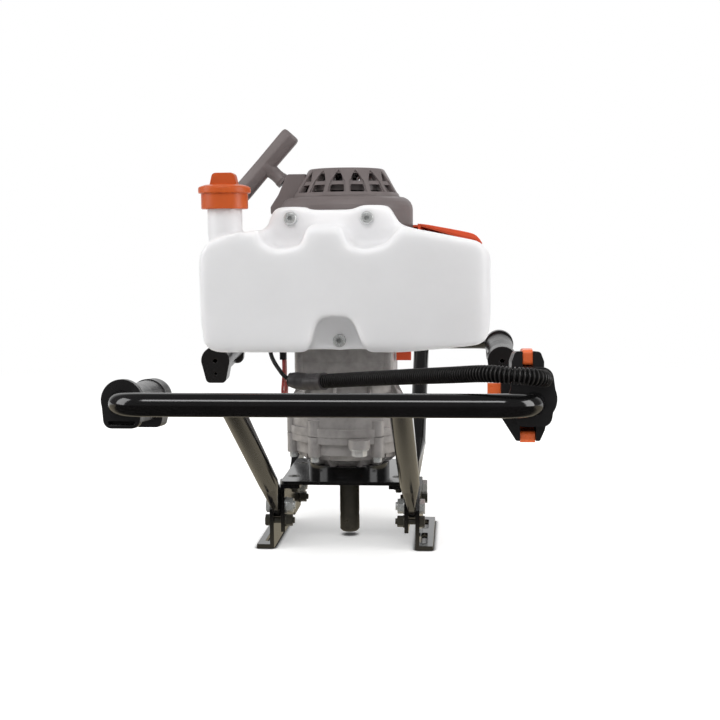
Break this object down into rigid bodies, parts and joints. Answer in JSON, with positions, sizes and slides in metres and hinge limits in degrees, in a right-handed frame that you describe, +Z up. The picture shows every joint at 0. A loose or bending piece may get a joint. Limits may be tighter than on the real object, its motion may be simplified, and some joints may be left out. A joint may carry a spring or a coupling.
{
  "type": "earth auger power head",
  "caption": "Petrol earth auger power head with a two-stroke engine, geared output shaft, white fuel tank and two fold-up tube handles on foot rails.",
  "frame": {"origin": "on the output shaft axis at the floor under the feet", "axes": "+X to the right of the tank side, +Y from the tank side to the far handle, +Z up along the output shaft"},
  "size_m": [0.374, 0.58, 0.4105],
  "materials": {
    "black_paint": "gloss powder coat",
    "zinc_steel": "zinc plated",
    "machined_steel": "turned and ground",
    "friction_lining": "sintered lining",
    "cast_aluminium": "as cast, tumbled",
    "silencer_steel": "heat resistant paint",
    "ceramic": "glazed",
    "black_rubber": "moulded",
    "black_plastic": "moulded",
    "orange_plastic": "moulded, semi gloss",
    "taupe_plastic": "fine moulded texture",
    "white_hdpe": "blow moulded, translucent",
    "fuel_rubber": "extruded",
    "red_wire": "extruded insulation",
    "rope": "braided",
    "grip_plastic": "moulded, fine grain"
  },
  "bodies": {
    "chassis": {"base_plate": "black_paint", "hanger_left": "black_paint", "hanger_right": "black_paint", "foot_left": "black_paint", "foot_right": "black_paint", "hanger_bolts": "zinc_steel", "hinge_bolts": "zinc_steel", "stop_bolts": "zinc_steel", "gearbox_screws": "zinc_steel", "oil_plug": "zinc_steel", "recoil_screws": "zinc_steel", "tank_screws": "zinc_steel", "lower_bearing": "machined_steel", "upper_bearing": "machined_steel", "gearbox_cover": "cast_aluminium", "gearbox_housing": "cast_aluminium", "crankcase_lower": "cast_aluminium", "crankcase_upper": "cast_aluminium", "engine_cylinder": "cast_aluminium", "carburettor": "cast_aluminium", "fan_housing": "cast_aluminium", "muffler": "silencer_steel", "spark_plug": "ceramic", "output_seal": "black_rubber", "plug_boot": "black_rubber", "plug_lead": "black_rubber", "filter_case": "black_plastic", "filter_cover": "black_plastic", "ignition_coil": "black_plastic", "coil_wire": "black_plastic", "wire_connector": "black_plastic", "throttle_cable": "black_plastic", "conduit": "black_plastic", "shroud": "orange_plastic", "recoil_cover": "taupe_plastic", "fuel_tank": "white_hdpe", "fuel_hose": "fuel_rubber", "stop_wire": "red_wire", "starter_rope": "rope"},
    "near_wing": {"near_frame": "black_paint", "near_left_grip": "grip_plastic", "throttle_grip": "grip_plastic"},
    "throttle_trigger": {"throttle_trigger": "orange_plastic"},
    "throttle_lock": {"throttle_lock": "orange_plastic"},
    "stop_switch": {"stop_switch": "orange_plastic"},
    "far_wing": {"far_frame": "black_paint", "far_left_grip": "grip_plastic", "far_right_grip": "grip_plastic"},
    "output": {"output_shaft": "machined_steel"},
    "counter": {"counter_gear": "machined_steel"},
    "drum": {"clutch_drum": "machined_steel"},
    "crank": {"crankshaft": "machined_steel", "flywheel": "cast_aluminium", "clutch_shoes": "friction_lining"},
    "starter_handle": {"starter_handle": "taupe_plastic"},
    "starter_reel": {"starter_reel": "black_plastic"},
    "fuel_cap": {"fuel_cap": "orange_plastic"},
    "choke": {"choke_lever": "black_plastic"}
  },
  "joints": [
    {"name": "near_wing_fold", "type": "hinge", "parent": "chassis", "child": "near_wing", "pos_m": [0, -0.045, 0.04], "axis": [-1, 0, 0], "range_deg": [0, 24], "deforming": ["conduit"]},
    {"name": "far_wing_fold", "type": "hinge", "parent": "chassis", "child": "far_wing", "pos_m": [0, 0.045, 0.04], "axis": [1, 0, 0], "range_deg": [0, 24]},
    {"name": "trigger_pull", "type": "hinge", "parent": "near_wing", "child": "throttle_trigger", "pos_m": [0.1665, -0.18585, 0.14869], "axis": [-1, 0, 0], "range_deg": [0, 12], "stiffness_Nm_per_rad": 0.4, "springref_deg": -17.19},
    {"name": "lock_press", "type": "hinge", "parent": "near_wing", "child": "throttle_lock", "pos_m": [0.1665, -0.18799, 0.19305], "axis": [1, 0, 0], "range_deg": [0, 8], "stiffness_Nm_per_rad": 0.4, "springref_deg": -17.19},
    {"name": "switch_slide", "type": "slide", "parent": "near_wing", "child": "stop_switch", "axis": [0, 0.9962, -0.0872], "range_m": [0, 0.004]},
    {"name": "output_spin", "type": "hinge", "parent": "chassis", "child": "output", "pos_m": [0, 0, 0.05], "axis": [0, 0, 1], "continuous": true},
    {"name": "counter_spin", "type": "hinge", "parent": "chassis", "child": "counter", "pos_m": [0, 0.0275, 0.1], "axis": [0, 0, 1], "continuous": true},
    {"name": "drum_spin", "type": "hinge", "parent": "chassis", "child": "drum", "pos_m": [0, 0, 0.13], "axis": [0, 0, 1], "continuous": true},
    {"name": "crank_spin", "type": "hinge", "parent": "chassis", "child": "crank", "pos_m": [0, 0, 0.23], "axis": [0, 0, 1], "continuous": true},
    {"name": "starter_pull", "type": "slide", "parent": "chassis", "child": "starter_handle", "axis": [-0.745, 0, 0.667], "range_m": [0, 0.6], "stiffness_N_per_m": 15, "springref_m": -0.3, "deforming": ["starter_rope"]},
    {"name": "reel_spin", "type": "hinge", "parent": "chassis", "child": "starter_reel", "pos_m": [0, 0, 0.344], "axis": [0, 0, 1], "range_deg": [0, 1240]},
    {"name": "cap_turn", "type": "hinge", "parent": "chassis", "child": "fuel_cap", "pos_m": [-0.1035, -0.1, 0.345], "axis": [0, 0, 1], "range_deg": [0, 540]},
    {"name": "choke_turn", "type": "hinge", "parent": "chassis", "child": "choke", "pos_m": [-0.078, 0.088, 0.26], "axis": [0, 0, -1], "range_deg": [0, 70]}
  ],
  "couplings": [
    {"joint": "counter_spin", "follows": "output_spin", "ratio": -4},
    {"joint": "drum_spin", "follows": "output_spin", "ratio": 18},
    {"joint": "reel_spin", "follows": "starter_pull", "rad_per_m": 36.036}
  ]
}
